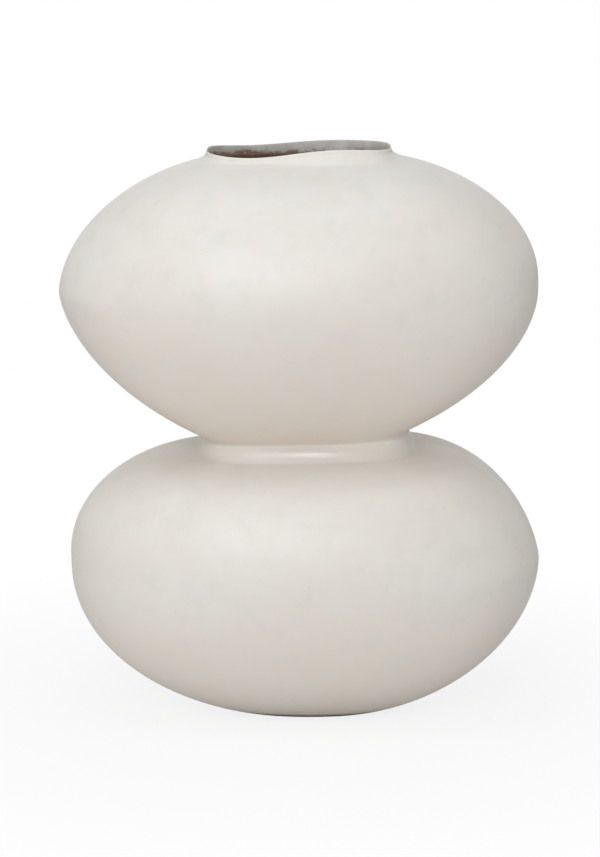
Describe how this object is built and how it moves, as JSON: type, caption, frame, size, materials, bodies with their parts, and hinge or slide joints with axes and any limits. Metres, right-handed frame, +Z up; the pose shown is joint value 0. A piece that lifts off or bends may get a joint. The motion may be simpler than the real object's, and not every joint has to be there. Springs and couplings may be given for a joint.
{
  "type": "pillow vase",
  "caption": "Two-tiered ceramic vase of two flattened pillow forms with a pinched waist and a short mouth with a waved lip.",
  "frame": {"origin": "on the table, under the middle of the vase's width and depth", "axes": "+X along the vase's width towards the right of the picture, +Y along its depth away from the viewer, +Z up"},
  "size_m": [0.2533, 0.1606, 0.3014],
  "materials": {
    "ivory_glaze": "satin, softly mottled ivory glaze",
    "bare_clay": "matt, reddish brown fired clay"
  },
  "bodies": {
    "root": {"base_slab": "ivory_glaze", "lower_bowl": "ivory_glaze", "lower_shoulder": "ivory_glaze", "lower_seam_coil": "bare_clay", "waist_collar": "ivory_glaze", "upper_bowl": "ivory_glaze", "upper_shoulder": "ivory_glaze", "upper_seam_coil": "bare_clay", "mouth_collar": "ivory_glaze"}
  },
  "joints": []
}
